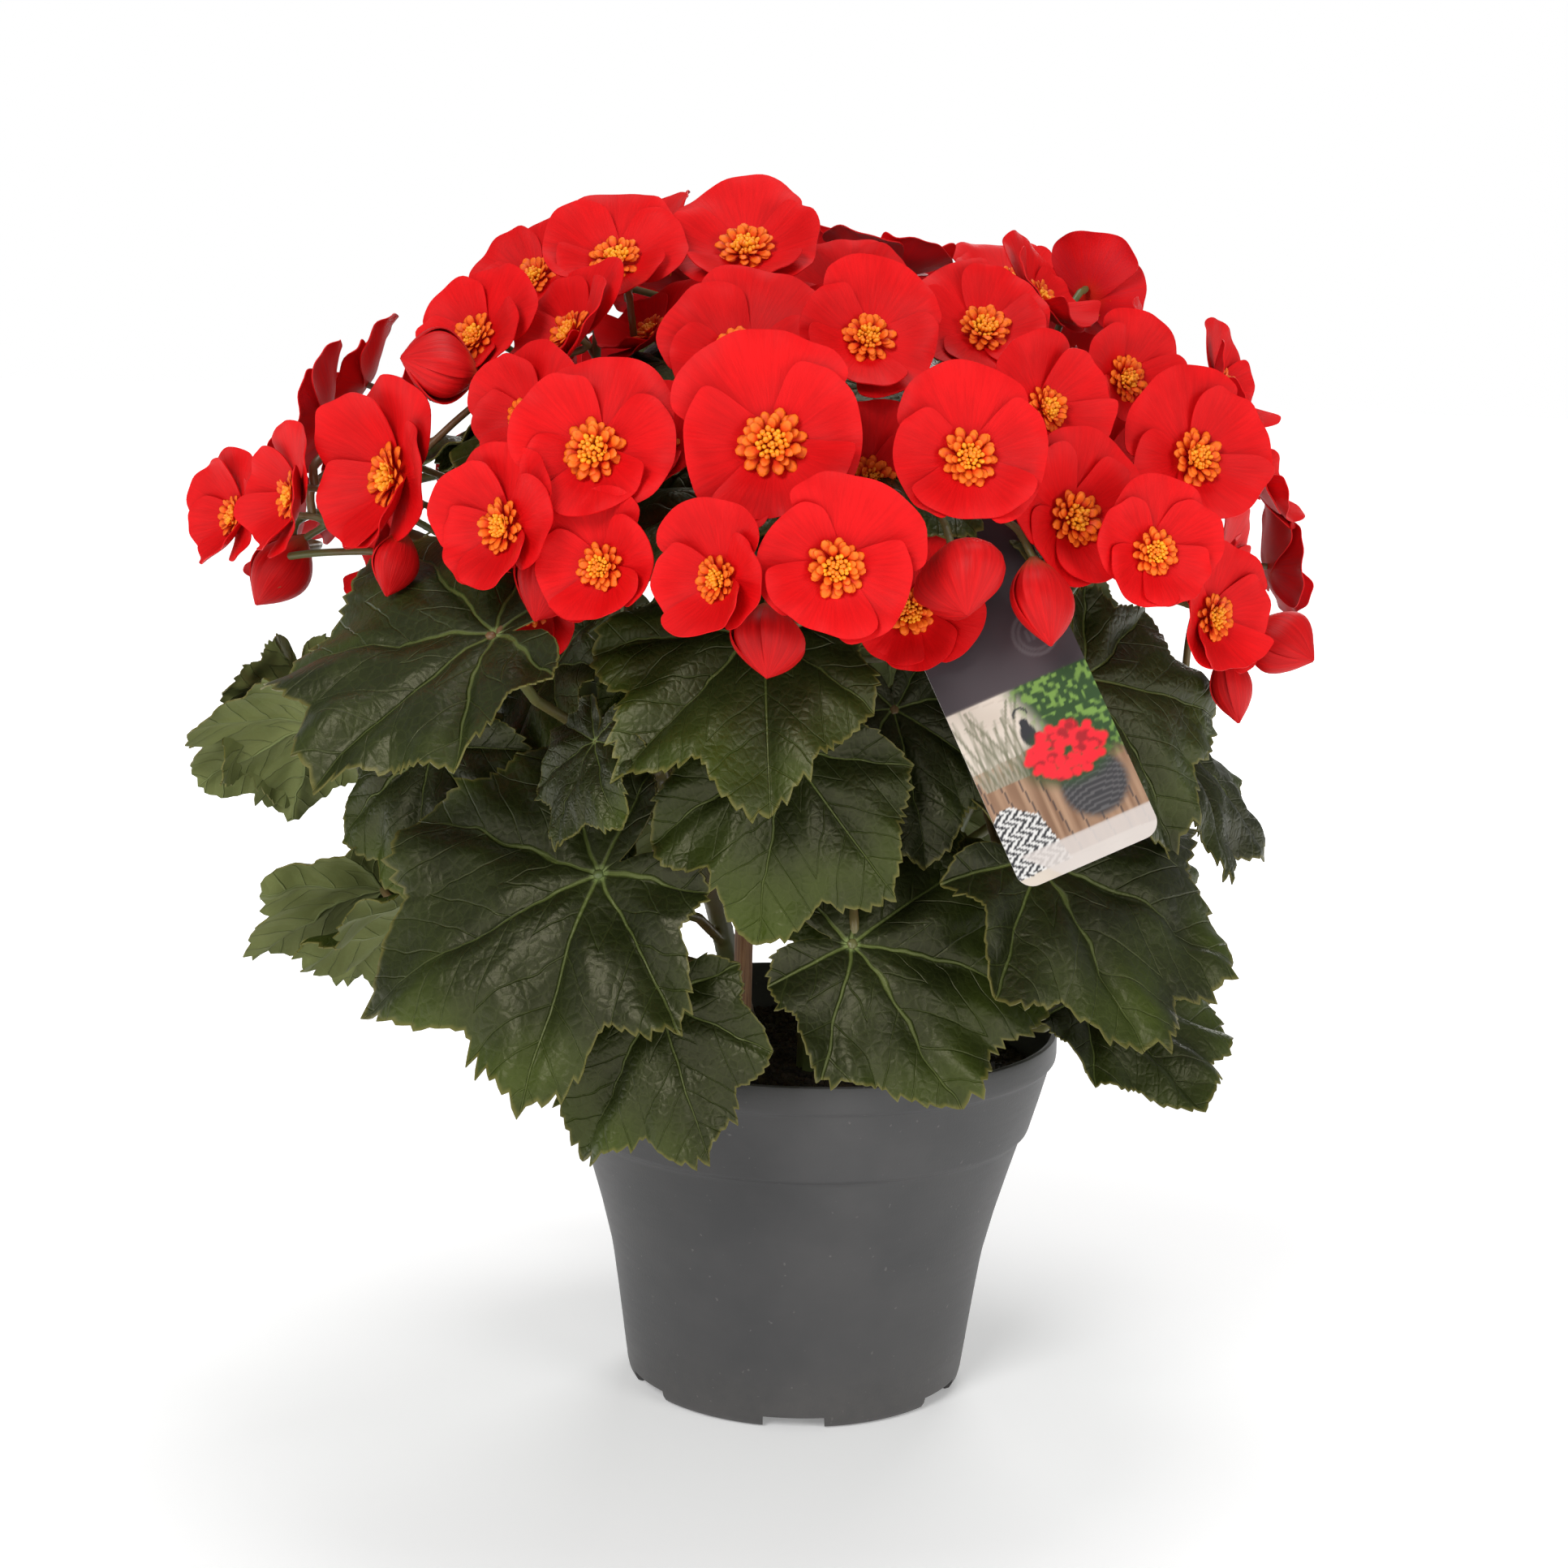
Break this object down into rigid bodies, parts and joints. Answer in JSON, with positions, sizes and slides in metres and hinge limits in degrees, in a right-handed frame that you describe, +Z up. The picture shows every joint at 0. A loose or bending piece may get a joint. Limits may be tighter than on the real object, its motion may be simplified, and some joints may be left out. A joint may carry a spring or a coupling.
{
  "type": "potted begonia",
  "caption": "Bushy flowering begonia with red single flowers, lobed green leaves, two support canes and a hang label, growing in a round plastic nursery pot.",
  "frame": {"origin": "centre of the face that the pot stands on", "axes": "+Z up, +X to the plant's right as seen from the front, -Y to the front, where the label hangs"},
  "size_m": [0.3506, 0.3121, 0.397],
  "materials": {
    "pot_plastic": "warm dark grey thermoformed polypropylene, faint satin",
    "peat": "dark moist peat crumbs and fibres",
    "cane": "split bamboo, dull orange brown",
    "card": "printed coated card, semi-gloss",
    "stalk": "fleshy green to reddish stalk, satin",
    "leaf": "fleshy dark green leaf, semi-gloss, pale underside",
    "petal": "velvety scarlet petal with yellow stamens"
  },
  "bodies": {
    "root": {"pot": "pot_plastic", "growing_mix": "peat", "support_cane_left": "cane", "support_cane_right": "cane", "hang_label": "card", "stem_left": "stalk", "stem_front": "stalk", "stem_right": "stalk", "stem_back": "stalk", "leaf_01": "leaf", "leaf_02": "leaf", "leaf_03": "leaf", "leaf_04": "leaf", "leaf_05": "leaf", "leaf_06": "leaf", "leaf_07": "leaf", "leaf_08": "leaf", "leaf_09": "leaf", "leaf_10": "leaf", "leaf_11": "leaf", "leaf_12": "leaf", "leaf_13": "leaf", "leaf_14": "leaf", "leaf_15": "leaf", "leaf_16": "leaf", "leaf_17": "leaf", "leaf_18": "leaf", "leaf_19": "leaf", "leaf_20": "leaf", "leaf_21": "leaf", "leaf_22": "leaf", "leaf_23": "leaf", "leaf_24": "leaf", "flower_01": "petal", "flower_02": "petal", "flower_03": "petal", "flower_04": "petal", "flower_05": "petal", "flower_06": "petal", "flower_07": "petal", "flower_08": "petal", "flower_09": "petal", "flower_10": "petal", "flower_11": "petal", "flower_12": "petal", "flower_13": "petal", "flower_14": "petal", "flower_15": "petal", "flower_16": "petal", "flower_17": "petal", "flower_18": "petal", "flower_19": "petal", "flower_20": "petal", "flower_21": "petal", "flower_22": "petal", "flower_23": "petal", "flower_24": "petal", "flower_25": "petal", "flower_26": "petal", "flower_27": "petal"}
  },
  "joints": []
}
